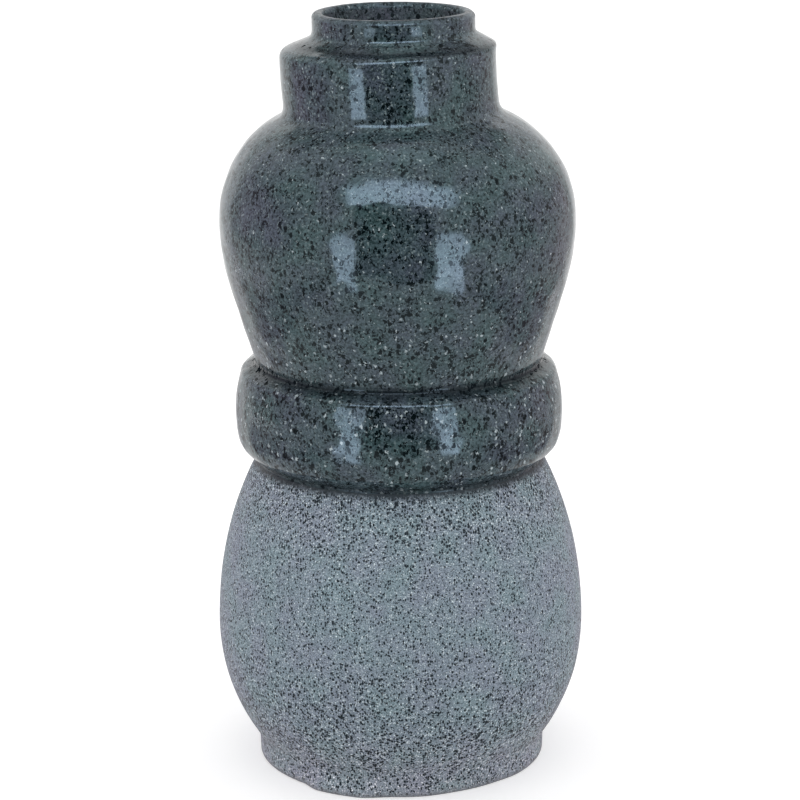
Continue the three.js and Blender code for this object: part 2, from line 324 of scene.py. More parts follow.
# The neck stands a little askew: collar and ledge lean and tilt, and the mouth is nearly level again.
def askew(p):
    x, front, z = p[..., 0], -p[..., 1], p[..., 2]
    collar = smooth(z, BULB_LEVEL + LEAN_LIFT, collar_wall_top)
    mouth = smooth(z, collar_wall_top, ledge_top)
    level = smooth(z, ledge_top, lip.level) * (1 - LIP_TILT_SHARE * smooth(front, 0, LIP_TILT_FADE))
    out = p.copy()
    out[..., 0] += COLLAR_LEAN * (collar - mouth) + MOUTH_LEAN * mouth
    out[..., 2] += math.tan(COLLAR_TILT) * (collar - level) * x
    return out


# Turns rows of (radius, level) round the axis, starting from the back.
turn = np.radians(90) + np.linspace(0, 2 * np.pi, SEGMENTS, endpoint=False)


def revolve(profile):
    p = np.empty((len(profile), SEGMENTS, 3))
    p[..., 0] = profile[:, :1] * np.cos(turn)
    p[..., 1] = profile[:, :1] * np.sin(turn)
    p[..., 2] = profile[:, 1:]
    return p


def outward(profile):
    t = np.gradient(profile, axis=0)
    t /= np.maximum(np.hypot(t[:, 0], t[:, 1]), TINY)[:, None]
    n = np.empty((len(profile), SEGMENTS, 3))
    n[..., 0] = t[:, 1:] * np.cos(turn)
    n[..., 1] = t[:, 1:] * np.sin(turn)
    n[..., 2] = -t[:, :1]
    return n


# The glaze stands proud of the clay, most on the bulb and neck, and thins out over the lip.
lip_row = next(i for i in range(count) if rows[i, 1] > lip.level + lip.rise - TOUCH)
inside = np.arange(count) > lip_row
glazed = np.array([False] + [coat in ("gloss", "sand") for coat in finish]) & ~inside
proud = COAT_LOW * smooth(rows[:, 1], COAT_START, FOOT_HEIGHT)
proud += (COAT_HIGH - COAT_LOW) * smooth(rows[:, 1], RING_TOP, RING_TOP + COAT_CLIMB)
proud *= np.where(rows[:, 1] > lip.level, np.clip((rows[:, 0] - lip.radius) / lip.run, 0, 1), 1)
rows[:, 0] += np.where(glazed, proud, 0)
skin = revolve(rows)
reach, side = np.hypot(skin[..., 0], skin[..., 1]), np.arctan2(skin[..., 0], -skin[..., 1])

# The ledge sinks a little in front, between the collar's edge and the flare under the mouth.
sink = between(reach, mouth_foot - DIP_INNER, DIP_RADIUS, DIP_RADIUS + DIP_FLAT, COLLAR_RADIUS - DIP_OUTER)
sink *= between(side, *DIP_ARC)
sink *= (glazed & (rows[:, 1] > collar_wall_top))[:, None]
skin[..., 2] -= DIP_DEPTH * sink

# The foot's edge is uneven: it spreads to the front left and draws in a little to the front right.
toe = TOE_OUT * between(side, *TOE_OUT_ARC) - TOE_IN * between(side, *TOE_IN_ARC)
toe *= ((rows[:, 0] > foot_out - TOUCH) * (1 - smooth(rows[:, 1], TOE_FLAT, TOE_HEIGHT)))[:, None]
skin[..., :2] *= (1 + toe / np.maximum(reach, 1))[..., None]


# The glaze lies a little unevenly: in long swells, and in short ones where it is glossy.
def waves(p, swell, shift=Vector()):
    length, depth = swell
    return noise.noise(p / length + shift) * depth


uneven = np.zeros((count, SEGMENTS))
for i in range(count):
    level, piece, coat = rows[i, 1], owner[max(0, i - 1)], finish[max(0, i - 1)]
    if inside[i] or coat == "clay" or level < FOOT_HEIGHT + FOOT_CLEAR:
        continue
    calm = 1 - NECK_CALM * smooth(level, collar_foot - NECK_FADE, collar_foot)
    strength = RING_WAVES if piece == "waist_ring" else calm
    for j in range(SEGMENTS):
        p = Vector(skin[i, j])
        uneven[i, j] = waves(p, LONG_SWELL)
        if coat == "gloss":
            uneven[i, j] += strength * (waves(p, SHORT_SWELL, SHORT_SHIFT) + waves(p, RIPPLE))
skin = askew(skin + outward(rows) * uneven[..., None])

along = np.gradient(skin, axis=0)
around = np.roll(skin, -1, 1) - np.roll(skin, 1, 1)
normals = np.cross(around, along)
normals /= np.maximum(np.linalg.norm(normals, axis=2, keepdims=True), TINY)
normals[0], normals[-1] = (0, 0, -1), (0, 0, 1)


# The hidden faces between two sections, as profiles through the joint from one end of the skin to another
def hidden(*points):
    return np.array(points, float)


gap = SLIP_SEAM / 2
foot_joint = FOOT_RADIUS - JOINT_INSET, FOOT_INNER + JOINT_INSET
collar_joint = COLLAR_RADIUS - JOINT_INSET, neck_bore + JOINT_INSET
rim_joint = mouth_foot - JOINT_INSET, mouth_bore + JOINT_INSET
bore_joint = waist_bore + JOINT_INSET
sleeve = spigot + SLIP_SEAM
sleeve_top, spigot_top = RING_TOP - CREASE_DEPTH - JOINT_INSET, RING_TOP - CREASE_DEPTH + JOINT_INSET
JOINTS = {
    "foot_ring": [hidden((foot_joint[0], foot_seam - gap), (foot_joint[1], foot_seam - gap))],
    "lower_body": [
        hidden((foot_joint[1], foot_seam + gap), (foot_joint[0], foot_seam + gap)),
        hidden((spigot, RING_BOTTOM), (spigot, SPIGOT_SEAM - gap), (bore_joint, SPIGOT_SEAM - gap)),
    ],
    "waist_ring": [hidden((sleeve, sleeve_top), (sleeve, RING_BOTTOM + SLIP_SEAM))],
    "upper_body": [
        hidden((collar_joint[0], collar_foot - gap), (collar_joint[1], collar_foot - gap)),
        hidden((bore_joint, SPIGOT_SEAM + gap), (spigot, SPIGOT_SEAM + gap), (spigot, spigot_top)),
    ],
    "neck_collar": [
        hidden((rim_joint[0], mouth_seat - gap), (rim_joint[1], mouth_seat - gap)),
        hidden((collar_joint[1], collar_foot + gap), (collar_joint[0], collar_foot + gap)),
    ],
    "mouth_rim": [hidden((rim_joint[1], mouth_seat + gap), (rim_joint[0], mouth_seat + gap))],
}


# Small helpers for node trees
def connect(tree, node, ins):
    for key, value in ins.items():
        socket = node.inputs[key]
        if isinstance(value, bpy.types.NodeSocket):
            tree.links.new(value, socket)
        else:
            socket.default_value = value


def add(tree, kind, ins=None, **props):
    node = tree.nodes.new(kind)
    for key, value in props.items():
        setattr(node, key, value)
    connect(tree, node, ins or {})
    return node


def math_node(tree, operation, a, b=0.0, c=0.0, clamp=False):
    return add(tree, "ShaderNodeMath", {0: a, 1: b, 2: c}, operation=operation, use_clamp=clamp).outputs[0]


def times(tree, a, b):
    return math_node(tree, "MULTIPLY", a, b)


def vector_node(tree, operation, a, b, socket=1, output=0):
    return add(tree, "ShaderNodeVectorMath", {0: a, socket: b}, operation=operation).outputs[output]


def height_of(tree, place):
    return add(tree, "ShaderNodeSeparateXYZ", {0: place}).outputs[2]


def blend(tree, amount, a, b):
    return add(tree, "ShaderNodeMix", {0: amount, 6: a, 7: b}, data_type="RGBA").outputs[2]


def remap(tree, value, low, high, to_low=0.0, to_high=1.0, **props):
    ins = {"Value": value, "From Min": low, "From Max": high, "To Min": to_low, "To Max": to_high}
    return add(tree, "ShaderNodeMapRange", ins, **props).outputs[0]


def grain(tree, place, size, detail=2.0, rough=0.5):
    ins = {"Vector": place, "Scale": 1 / size, "Detail": detail, "Roughness": rough}
    return add(tree, "ShaderNodeTexNoise", ins)


# A noise with its middle range stretched, so that it makes patches
def patches(tree, place, size, detail=2.0, rough=0.5, spread=0.14, to=(0.0, 1.0)):
    value = grain(tree, place, size, detail, rough).outputs[0]
    return remap(tree, value, 0.5 - spread, 0.5 + spread, *to)


# Millimetres on the vase, moved by a shift so that two patterns don't repeat each other
def millimetres(tree, shift=(0, 0, 0), stretch=1.0):
    coord = add(tree, "ShaderNodeTexCoord").outputs["Object"]
    per_metre = 1 / MILLIMETRE
    ins = {"Vector": coord, "Location": shift, "Scale": (per_metre, per_metre, per_metre / stretch)}
    return add(tree, "ShaderNodeMapping", ins).outputs[0]


# Pushed about by a fine noise, so that specks aren't round
def ragged(tree, place, size, amount):
    wander = grain(tree, place, size, detail=1.0).outputs[1]
    centred = vector_node(tree, "SUBTRACT", wander, (0.5, 0.5, 0.5))
    return vector_node(tree, "ADD", place, vector_node(tree, "SCALE", centred, amount, "Scale"))


# How near a level is to a mark, from the peak at the mark to 0 at a reach below and above it
def near_level(tree, level, mark, below, above, peak):
    under = remap(tree, level, mark - below, mark, 0.0, 1.0)
    over = remap(tree, level, mark, mark + above, 1.0, 0.0)
    return times(tree, times(tree, under, over), peak)


def bumps(tree, height, depth):
    ins = {"Height": height, "Strength": 1.0, "Distance": depth * MILLIMETRE}
    return add(tree, "ShaderNodeBump", ins).outputs[0]


def new_material(name):
    material = bpy.data.materials.new(name)
    material.use_nodes = True
    return material, material.node_tree, material.node_tree.nodes["Principled BSDF"]


# Specks scattered in a coat, in millimetres: shift and upward stretch of the pattern, size and amount of
# the wander at its edges, size of a cell, share of the cells with a speck, smallest and largest radius,
# width of the soft edge, and how strong the faintest is. A share of the specks are less than full strength.
FAINT_SHARE = 0.6
Specks = namedtuple("Specks", "shift stretch wander cell share small large edge faint")
GLOSS_DUST = Specks((5, 29, 71), 1.1, (0.6, 1.2), 1.15, 0.80, 0.16, 0.42, 0.16, 0.4)
GLOSS_PALE = Specks((37, 11, 5), 1.1, (0.8, 1.6), 1.90, 0.40, 0.20, 0.50, 0.16, 0.4)
GLOSS_FINE = Specks((80, 7, 40), 1.2, (0.7, 1.5), 1.05, 0.65, 0.16, 0.44, 0.12, 0.8)
GLOSS_COARSE = Specks((3, 60, 20), 1.2, (1.0, 2.4), 1.75, 0.85, 0.32, 0.84, 0.12, 0.95)
GLOSS_BLOTS = Specks((23, 47, 66), 1.2, (1.2, 2.2), 4.00, 0.55, 0.45, 0.95, 0.14, 1.0)
GLOSS_PITS = Specks((61, 2, 9), 1.0, None, 7.00, 0.30, 0.40, 0.90, 0.80, 0.5)
SAND_PALE = Specks((51, 17, 2), 1.0, (0.5, 0.8), 0.70, 0.58, 0.12, 0.26, 0.08, 0.4)
SAND_BLACK = Specks((9, 3, 21), 1.25, (0.5, 0.9), 0.93, 0.80, 0.185, 0.45, 0.06, 1.0)
CLAY_BLACK = Specks((13, 8, 30), 1.0, (0.8, 1.2), 1.80, 0.45, 0.20, 0.60, 0.25, 0.4)

# Depth of the bumps on each coat in millimetres, and of the pits in the gloss as a share of its bumps
GLOSS_RELIEF, SAND_RELIEF, CLAY_RELIEF, PIT_DEPTH = 0.02, 0.16, 0.12, 1.6


# How much of one kind of speck covers each place, with a factor on the specks' size
def specks(tree, kind, crowd=1.0):
    place = millimetres(tree, kind.shift, kind.stretch)
    if kind.wander:
        place = ragged(tree, place, *kind.wander)
    cells = add(tree, "ShaderNodeTexVoronoi", {"Vector": place, "Scale": 1 / kind.cell})
    parts = add(tree, "ShaderNodeSeparateColor", {0: cells.outputs["Color"]})
    bare = 1 - kind.share
    radius = remap(tree, parts.outputs[0], bare, 1.0, kind.small / kind.cell, kind.large / kind.cell)
    present = math_node(tree, "GREATER_THAN", parts.outputs[0], bare)
    short = math_node(tree, "SUBTRACT", times(tree, radius, crowd), cells.outputs["Distance"])
    cover = math_node(tree, "MULTIPLY_ADD", short, kind.cell / kind.edge, 0.5, clamp=True)
    strength = remap(tree, parts.outputs[1], 0.0, FAINT_SHARE, kind.faint, 1.0)
    return times(tree, times(tree, cover, present), strength)


# Gloss glaze: its tones, the levels over which it changes, and where dark glaze has pooled, with painted
# shade in the same creases, each pool as its level, its reach below and above and its depth
GREEN_DARK, GREEN_LIGHT = (0.0140, 0.0312, 0.0325), (0.0670, 0.1125, 0.1218)
LILAC_DARK, LILAC_LIGHT = (0.0175, 0.0262, 0.0332), (0.0770, 0.0995, 0.1290)
DUST_TONE, BLACK_TONE = (0.165, 0.215, 0.225, 1), (0.0012, 0.0042, 0.0054, 1)
POOL_AND_SHADE_TONE, MIRROR_TINT = (0.006, 0.009, 0.012, 1), (0.80, 0.94, 1.0, 1)
OFF_RING, OFF_RING_BLOTS, OFF_RING_FLECKS = (160.0, 172.0), (160.0, 175.0), (160.0, 215.0)
UP_BULB, UP_BULB_DUST, TO_NECK = (195.0, 250.0), (215.0, 245.0), (256.0, 264.0)
POOL_AND_SHADE_UNDER_RING = (RING_BOTTOM, 4.0, 3.8, 0.62)
POOL_AND_SHADE_ON_RING = (RING_TOP, 3.2, 3.2, 0.95)
POOL_AND_SHADE_ON_LEDGE = (ledge(DIP_RADIUS, DIP_DEPTH)[1] - 0.2, 1.3, 3.7, 0.72)

# How much the gloss mirrors on the body and on the neck, and how much less on specks, blots and pools
# of glaze and painted shade
SHINE_BODY, SHINE_NECK, BLACK_LOSS, BLOT_LOSS, POOL_AND_SHADE_LOSS = 0.5, 0.58, -0.25, -0.13, -0.36

# How much rougher it is in patches, on specks, under and on the ring, at the neck's corners and over the
# lip, how rough it is on the lip's inner side, and where these lie
ROUGH_PATCH, ROUGH_SPECK, ROUGH_UNDER, ROUGH_RING = 0.05, 0.03, 0.32, 0.012
ROUGH_CORNER, ROUGH_LIP, ROUGH_INNER = 0.10, 0.22, 0.6
RING_SPAN, LIP_SPAN = (RING_TOP - 2, RING_TOP + 5), (lip.level - 0.4, lip.level + 0.5)
INNER_SPAN, CORNER_REACH = (lip.radius - 1.7, lip.radius - 0.8), 2.0
NECK_CORNERS = (collar_foot - 2.6, collar_top - 1.0, ledge_top + 0.4)


# A mottled base of grey-green and lilac patches, with faint dust and pale flecks
def gloss_base(tree, plain, height, painted_light_lift, pale_tone):
    # Tones scaled by the lift; on the lining the lift is partly painted light inside the mouth.
    def shade(tone):
        return (*(c * k for c, k in zip(tone, painted_light_lift)), 1)

    mottle = patches(tree, plain, size=1.0, detail=3.0, rough=0.7, spread=0.12)
    green = blend(tree, mottle, shade(GREEN_DARK), shade(GREEN_LIGHT))
    lilac = blend(tree, mottle, shade(LILAC_DARK), shade(LILAC_LIGHT))
    base = blend(tree, patches(tree, plain, size=14.0), green, lilac)
    dust = times(tree, specks(tree, GLOSS_DUST), remap(tree, height, *UP_BULB_DUST, 0.78, 1.08))
    flecks = specks(tree, GLOSS_PALE, remap(tree, height, *OFF_RING_FLECKS, 1.42, 0.85))
    return blend(tree, flecks, blend(tree, dust, base, DUST_TONE), pale_tone)


# Black specks, which crowd together in places, and the large blots among them
def gloss_black(tree, plain, height):
    crowd = patches(tree, plain, size=5.0, to=(0.6, 1.3))
    for span, low, high in ((UP_BULB, 1.08, 0.96), (TO_NECK, 1.0, 1.06), (OFF_RING, 0.99, 0.97)):
        crowd = times(tree, crowd, remap(tree, height, *span, low, high))
    spread = remap(tree, height, *OFF_RING_BLOTS, 1.15, 0.82)
    spread = times(tree, spread, remap(tree, height, *TO_NECK, 1.0, 1.32))
    fine, coarse = specks(tree, GLOSS_FINE, crowd), specks(tree, GLOSS_COARSE, crowd)
    blots = specks(tree, GLOSS_BLOTS, spread)
    return math_node(tree, "MAXIMUM", math_node(tree, "MAXIMUM", fine, coarse), blots), blots


# Roughness of the gloss
def gloss_rough(tree, plain, height, dull, black, under):
    rough = patches(tree, plain, size=5.0, spread=0.2, to=(dull, dull + ROUGH_PATCH))
    more = [times(tree, black, ROUGH_SPECK), times(tree, under, ROUGH_UNDER)]
    more.append(remap(tree, height, *RING_SPAN, ROUGH_RING, 0.0))
    for mark in NECK_CORNERS:
        more.append(near_level(tree, height, mark, CORNER_REACH, CORNER_REACH, ROUGH_CORNER))
    more.append(remap(tree, height, *LIP_SPAN, 0.0, ROUGH_LIP))
    for part in more:
        rough = math_node(tree, "ADD", rough, part)
    flat = vector_node(tree, "MULTIPLY", plain, (1, 1, 0))
    radius = vector_node(tree, "DISTANCE", flat, (MOUTH_LEAN, 0, 0), output=1)
    return math_node(tree, "MAXIMUM", rough, remap(tree, radius, *INNER_SPAN, ROUGH_INNER, 0.0))


# Glossy speckled glaze, darker where it has pooled in the creases at the ring and in the ledge's dip, with
# painted shade in these creases too. Black specks and pools mirror less, and the neck a little more.
def gloss_material(name, painted_light_lift, dull, pale_tone):
    material, tree, shader = new_material(name)
    plain = millimetres(tree)
    height = height_of(tree, plain)
    base = gloss_base(tree, plain, height, painted_light_lift, pale_tone)
    black, blots = gloss_black(tree, plain, height)
    level = height_of(tree, ragged(tree, plain, size=2.0, amount=1.2))
    # The pools are pooled dark glaze and painted shade at once: they darken the creases where shade falls.
    under = pool_and_shade = near_level(tree, level, *POOL_AND_SHADE_UNDER_RING)
    for place in (POOL_AND_SHADE_ON_RING, POOL_AND_SHADE_ON_LEDGE):
        pool_and_shade = math_node(tree, "ADD", pool_and_shade, near_level(tree, level, *place))
    shine = remap(tree, height, *TO_NECK, SHINE_BODY, SHINE_NECK)
    for part, loss in ((black, BLACK_LOSS), (blots, BLOT_LOSS), (pool_and_shade, POOL_AND_SHADE_LOSS)):
        shine = math_node(tree, "MULTIPLY_ADD", part, loss, shine, clamp=True)
    ripple = grain(tree, plain, size=2.6).outputs[0]
    relief = math_node(tree, "MULTIPLY_ADD", specks(tree, GLOSS_PITS), -PIT_DEPTH, ripple)
    connect(tree, shader, {
        "Base Color": blend(tree, pool_and_shade, blend(tree, black, base, BLACK_TONE), POOL_AND_SHADE_TONE),
        "IOR": 1.45,
        "Specular Tint": MIRROR_TINT,
        "Specular IOR Level": shine,
        "Roughness": gloss_rough(tree, plain, height, dull, black, under),
        "Normal": bumps(tree, relief, GLOSS_RELIEF),
    })
    return material


# Sandy glaze: its tones, and the levels over which it changes
SAND_COOL_DARK, SAND_COOL_LIGHT = (0.078, 0.119, 0.139, 1), (0.287, 0.381, 0.420, 1)
SAND_LILAC_DARK, SAND_LILAC_LIGHT = (0.085, 0.112, 0.143, 1), (0.308, 0.359, 0.430, 1)
SAND_PALE_TONE, SAND_BLACK_TONE = (0.68, 0.765, 0.81, 1), (0.002, 0.0075, 0.011, 1)
PLAIN_TINT, PAINTED_FOOT_LIGHT_TINT = (1, 1, 1, 1), (1.35, 1.215, 1.205, 1)
WORN_TONE, RUN_AND_SHADOW_TONE = (0.190, 0.198, 0.212, 1), (0.024, 0.034, 0.040, 1)
WORN_EDGE, PAINTED_LIGHT_FOOT_SPAN = (0.6, 2.4), (FOOT_HEIGHT, FOOT_HEIGHT + 26)
CROWD_RISE, CROWD_FALL = (1.0, 16.0), (26.0, 62.0)
CROWD_AT_RING, PAINTED_SHADE_AT_RING = (RING_BOTTOM - 28, RING_BOTTOM - 4), (RING_BOTTOM - 34, RING_BOTTOM - 6)
RUN_AND_SHADOW_AT_RING = (RING_BOTTOM - 3.8, RING_BOTTOM - 1.0)


# How the specks of the sandy glaze crowd together: in patches, low on the belly and under the ring
def sand_crowd(tree, plain, level):
    crowd = patches(tree, plain, size=6.0, to=(0.92, 1.07))
    crowd = times(tree, crowd, remap(tree, level, *CROWD_AT_RING, 1.0, 1.3))
    rise = remap(tree, level, *CROWD_RISE, 1.12, 1.34)
    fall = remap(tree, level, *CROWD_FALL, 1.34, 1.0)
    return times(tree, crowd, math_node(tree, "MINIMUM", rise, fall))


# Matte sandy glaze: dense fine specks in a pale blue-grey coat with a gritty skin, lighter and warmer
# towards the foot in painted light, worn at its edge, a little darker just under the ring in painted shade,
# and with a ragged run of the dark glaze under the ring that is also painted shadow
def sand_material():
    material, tree, shader = new_material("matte_sand_glaze")
    plain = millimetres(tree)
    level = height_of(tree, ragged(tree, plain, size=1.4, amount=2.4))
    mottle = patches(tree, plain, size=0.36, detail=1.0, rough=0.6)
    cool = blend(tree, mottle, SAND_COOL_DARK, SAND_COOL_LIGHT)
    lilac = blend(tree, mottle, SAND_LILAC_DARK, SAND_LILAC_LIGHT)
    colour = blend(tree, patches(tree, plain, size=15.0, detail=3.0), cool, lilac)
    crowd = sand_crowd(tree, plain, level)
    colour = blend(tree, specks(tree, SAND_PALE, crowd), colour, SAND_PALE_TONE)
    colour = blend(tree, specks(tree, SAND_BLACK, crowd), colour, SAND_BLACK_TONE)
    # Painted shade: the sand is made a little darker just under the ring.
    shade = remap(tree, level, *PAINTED_SHADE_AT_RING, 1.0, 0.975)
    colour = vector_node(tree, "SCALE", colour, shade, "Scale")
    # Painted light: the sand is made lighter and a little warmer towards the foot.
    painted_foot_light = blend(tree, remap(tree, level, *PAINTED_LIGHT_FOOT_SPAN, 1.0, 0.0), PLAIN_TINT, PAINTED_FOOT_LIGHT_TINT)
    colour = vector_node(tree, "MULTIPLY", colour, painted_foot_light)
    colour = blend(tree, remap(tree, level, *WORN_EDGE, 0.75, 0.0), colour, WORN_TONE)
    # A ragged run of dark glaze under the ring, partly painted shadow where the ring overhangs the belly
    run = remap(tree, level, *RUN_AND_SHADOW_AT_RING)
    connect(tree, shader, {
        "Base Color": blend(tree, run, colour, RUN_AND_SHADOW_TONE),
        "IOR": 1.5,
        "Specular IOR Level": 0.2,
        "Sheen Weight": 0.12,
        "Sheen Roughness": 0.35,
        "Sheen Tint": (1.0, 0.72, 0.75, 1),
        "Roughness": remap(tree, run, 0.0, 1.0, 0.62, 0.4),
        "Normal": bumps(tree, grain(tree, plain, size=0.75, rough=0.6).outputs[0], SAND_RELIEF),
    })
    return material


# Bare fired clay under the foot and the floor
CLAY_DARK, CLAY_LIGHT = (0.150, 0.172, 0.195, 1), (0.225, 0.250, 0.275, 1)
CLAY_BLACK_TONE = (0.025, 0.028, 0.032, 1)


def clay_material():
    material, tree, shader = new_material("dry_clay")
    plain = millimetres(tree)
    mottle = patches(tree, plain, size=2.5, detail=4.0, rough=0.65, spread=0.2)
    base = blend(tree, mottle, CLAY_DARK, CLAY_LIGHT)
    grit = grain(tree, plain, size=0.6, detail=3.0, rough=0.65).outputs[0]
    connect(tree, shader, {
        "Base Color": blend(tree, specks(tree, CLAY_BLACK), base, CLAY_BLACK_TONE),
        "Roughness": 0.9,
        "Normal": bumps(tree, grit, CLAY_RELIEF),
    })
    return material


# The lining is the gloss glaze with its tones lifted lighter and redder, partly painted light in the shaded
# mouth, duller and with darker flecks.
MATERIALS = {
    "gloss": gloss_material(
        "speckled_gloss_glaze", painted_light_lift=(1.0, 1.0, 1.0), dull=0.06, pale_tone=(0.375, 0.44, 0.465, 1)),
    "lining": gloss_material(
        "inside_gloss_glaze", painted_light_lift=(1.32, 1.02, 1.04), dull=0.42, pale_tone=(0.17, 0.19, 0.20, 1)),
    "sand": sand_material(),
    "clay": clay_material(),
}

# Layout of the baked maps: the outside in three sectors, a cell each, and all else in the fourth cell
CELL, MARGIN, SECTORS = 0.5, 0.005, 3
ROOM = CELL - 2 * MARGIN
SECTOR = SEGMENTS // SECTORS


# The stretches of the skin that belong to a section, as first and last row
def stretches(name):
    marks = [i for i in range(count - 1) if owner[i] == name]
    starts = [i for i in marks if i - 1 not in marks]
    ends = [i + 1 for i in marks if i + 1 not in marks]
    return list(zip(starts, ends))


# A section's rows of points and normals, from its stretches of the skin and the hidden faces of its
# joints, and for each band between two rows its coat and whether it lies on the glazed outside
def gather(name):
    points, shades, coats, outer = [], [], [], []
    for (first, last), joint in zip(stretches(name), JOINTS[name] + [None]):
        points.append(skin[first:last + 1])
        shades.append(normals[first:last + 1])
        coats += finish[first:last]
        outer += [finish[i] != "clay" and not inside[i] for i in range(first, last)]
        if joint is not None:
            points.append(askew(revolve(joint)))
            shades.append(outward(joint))
            coats += ["joint"] * (len(joint) + 1)
            outer += [False] * (len(joint) + 1)
    return np.concatenate(points), np.concatenate(shades), coats, np.array(outer)


# Low and high edge of each band in its cell of the baked maps
def map_edges(points, outer):
    width = np.linalg.norm(np.roll(points[:, 0], -1, 0) - points[:, 0], axis=1)
    edges = {}
    for group in (True, False):
        chosen = np.where(outer == group)[0]
        far = np.concatenate(([0], np.cumsum(width[chosen])))
        for n, band in enumerate(chosen):
            edges[band] = ROOM * far[n] / far[-1], ROOM * far[n + 1] / far[-1]
    return edges


# Where a segment starts on the baked maps, and its width there
def map_place(segment, outside):
    cell, along = divmod(segment, SECTOR) if outside else (SECTORS, segment)
    step = ROOM / (SECTOR if outside else SEGMENTS)
    return MARGIN + CELL * (cell % 2) + step * along, MARGIN + CELL * (cell // 2), step


# The faces of the bands as numbers of their corners, and each corner's place on the baked maps
def make_faces(index, outer, edges):
    faces, places = [], []
    for b in range(len(outer)):
        c = (b + 1) % len(index)
        low, high = edges[b]
        for j in range(SEGMENTS):
            k = (j + 1) % SEGMENTS
            u, v, step = map_place(j, outer[b])
            corners = [
                (index[b, j], u, v + low), (index[b, k], u + step, v + low),
                (index[c, k], u + step, v + high), (index[c, j], u, v + high),
            ]
            if corners[0][0] == corners[1][0]:
                corners.pop(1)
            elif corners[2][0] == corners[3][0]:
                corners.pop(2)
            faces.append([int(x[0]) for x in corners])
            places += [x[1:] for x in corners]
    return faces, places


# One closed mesh for a section. The lower body begins and ends on the axis, in one corner each, and the
# others are rings. The faces of a joint have the last of the section's coats.
def make_piece(name):
    points, shades, coats, outer = gather(name)
    index = np.arange(len(points) * SEGMENTS).reshape(-1, SEGMENTS)
    if name == "lower_body":
        index[0], index[-1] = index[0, 0], index[-1, 0]
    keep = np.unique(index)
    faces, places = make_faces(np.searchsorted(keep, index), outer, map_edges(points, outer))
    used = [coat for coat in MATERIALS if coat in coats]
    coat_of = [used.index(coat) if coat in used else len(used) - 1 for coat in coats]
    mesh = bpy.data.meshes.new(name + "_glazed")
    mesh.from_pydata((points.reshape(-1, 3)[keep] * MILLIMETRE).tolist(), [], faces)
    for coat in used:
        mesh.materials.append(MATERIALS[coat])
    mesh.polygons.foreach_set("material_index", np.repeat(coat_of, SEGMENTS).astype(np.int32))
    mesh.polygons.foreach_set("use_smooth", np.ones(len(faces), bool))
    mesh.uv_layers.new(name="OFBake").uv.foreach_set("vector", np.array(places, np.float32).ravel())
    mesh.normals_split_custom_set_from_vertices(shades.reshape(-1, 3)[keep].tolist())
    piece = bpy.data.objects.new(name + "_glazed", mesh)
    scene.collection.objects.link(piece)
    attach(piece, "root")
    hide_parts(name)


for node in JOINTS:
    make_piece(node)


# Stage, in metres: a pale floor that keeps the shadow, soft white surroundings, lit panels and tinted cards
# that show only in the gloss, a dark card and two soft lamps
UPRIGHT = math.radians(90)
FLOOR_HALF, FLOOR_SEEN, FLOOR_MIRRORED = 6, 0.32, 0.1
FLOOR_TONE, DARK_TONE, WHITE = (0.87, 0.87, 0.87, 1), (0.01, 0.01, 0.01, 1), (1, 1, 1, 1)


def stage_sheet(name, corners):
    mesh = bpy.data.meshes.new(name)
    mesh.from_pydata(corners, [], [(0, 1, 2, 3)])
    thing = bpy.data.objects.new(name, mesh)
    scene.collection.objects.link(thing)
    return thing


def only_in_gloss(thing):
    thing.visible_camera = thing.visible_diffuse = thing.visible_shadow = False


# The floor glows faintly to the camera and less in the gloss, and lights nothing else.
def make_floor():
    a = FLOOR_HALF
    floor = stage_sheet("floor", [(-a, -a, 0), (a, -a, 0), (a, a, 0), (-a, a, 0)])
    material, tree, shader = new_material("pale_floor")
    path = add(tree, "ShaderNodeLightPath")
    glossy, through = path.outputs["Is Glossy Ray"], path.outputs["Is Transmission Ray"]
    mirrored = times(tree, math_node(tree, "ADD", glossy, through, clamp=True), FLOOR_MIRRORED)
    connect(tree, shader, {
        "Base Color": FLOOR_TONE,
        "Roughness": 1.0,
        "Specular IOR Level": 0.0,
        "Emission Color": WHITE,
        "Emission Strength": math_node(
            tree, "MULTIPLY_ADD", path.outputs["Is Camera Ray"], FLOOR_SEEN, mirrored),
    })
    floor.data.materials.append(material)


def make_world():
    world = bpy.data.worlds.new("soft_white")
    world.use_nodes = True
    scene.world = world
    connect(world.node_tree, world.node_tree.nodes["Background"], {"Color": WHITE, "Strength": 1.0})


